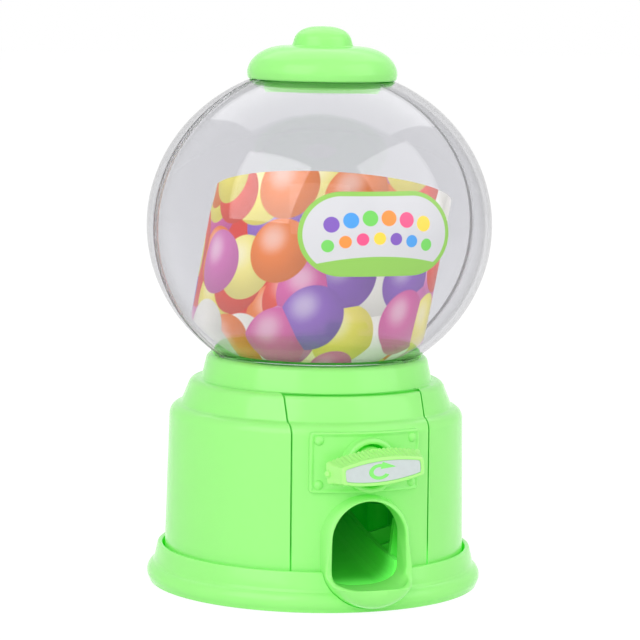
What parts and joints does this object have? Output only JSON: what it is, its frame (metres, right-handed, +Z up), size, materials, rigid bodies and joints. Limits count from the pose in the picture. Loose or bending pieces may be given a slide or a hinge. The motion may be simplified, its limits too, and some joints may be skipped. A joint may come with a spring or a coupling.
{
  "type": "toy gumball machine",
  "caption": "Small toy gumball machine: a clear oblate globe with a lift-off lid on a stepped green body, with a turning knob, dosing drum, chute and delivery mouth.",
  "frame": {"origin": "centre of the flat underside of the base, on the axis of the globe and body", "axes": "+Z up along the axis of the globe; -Y is the front, where the knob and the mouth are; +X is on the right seen from the front"},
  "size_m": [0.0846, 0.0894, 0.1367],
  "materials": {
    "green_plastic": "glossy injection-moulded light green",
    "knob_plastic": "satin yellow-green",
    "clear_plastic": "clear polished",
    "white_plastic": "satin white",
    "printed_card": "printed coated card",
    "label_film": "coated label",
    "silver_film": "satin silver film",
    "zinc_steel": "zinc plated"
  },
  "bodies": {
    "frame": {"base": "green_plastic", "base_screw_1": "zinc_steel", "base_screw_2": "zinc_steel", "base_screw_3": "zinc_steel", "base_screw_4": "zinc_steel", "body_shell": "green_plastic", "front_panel": "green_plastic", "hopper": "green_plastic", "hopper_screw_1": "zinc_steel", "hopper_screw_2": "zinc_steel", "hopper_screw_3": "zinc_steel", "drum_housing": "green_plastic", "chute": "green_plastic", "chute_screw_left": "zinc_steel", "chute_screw_right": "zinc_steel", "globe_front": "clear_plastic", "globe_rear": "clear_plastic", "globe_label": "label_film", "printed_sleeve": "printed_card"},
    "turning_gear": {"knob": "knob_plastic", "knob_sticker": "silver_film", "drum": "white_plastic", "shaft_washer": "zinc_steel", "shaft_screw": "zinc_steel"},
    "lid_body": {"lid": "green_plastic"}
  },
  "joints": [
    {"name": "knob_turn", "type": "hinge", "parent": "frame", "child": "turning_gear", "pos_m": [0, 0, 0.0348], "axis": [0, 1, 0], "continuous": true},
    {"name": "lid_lift", "type": "slide", "parent": "frame", "child": "lid_body", "axis": [0, 0, 1], "range_m": [0, 0.03]}
  ]
}
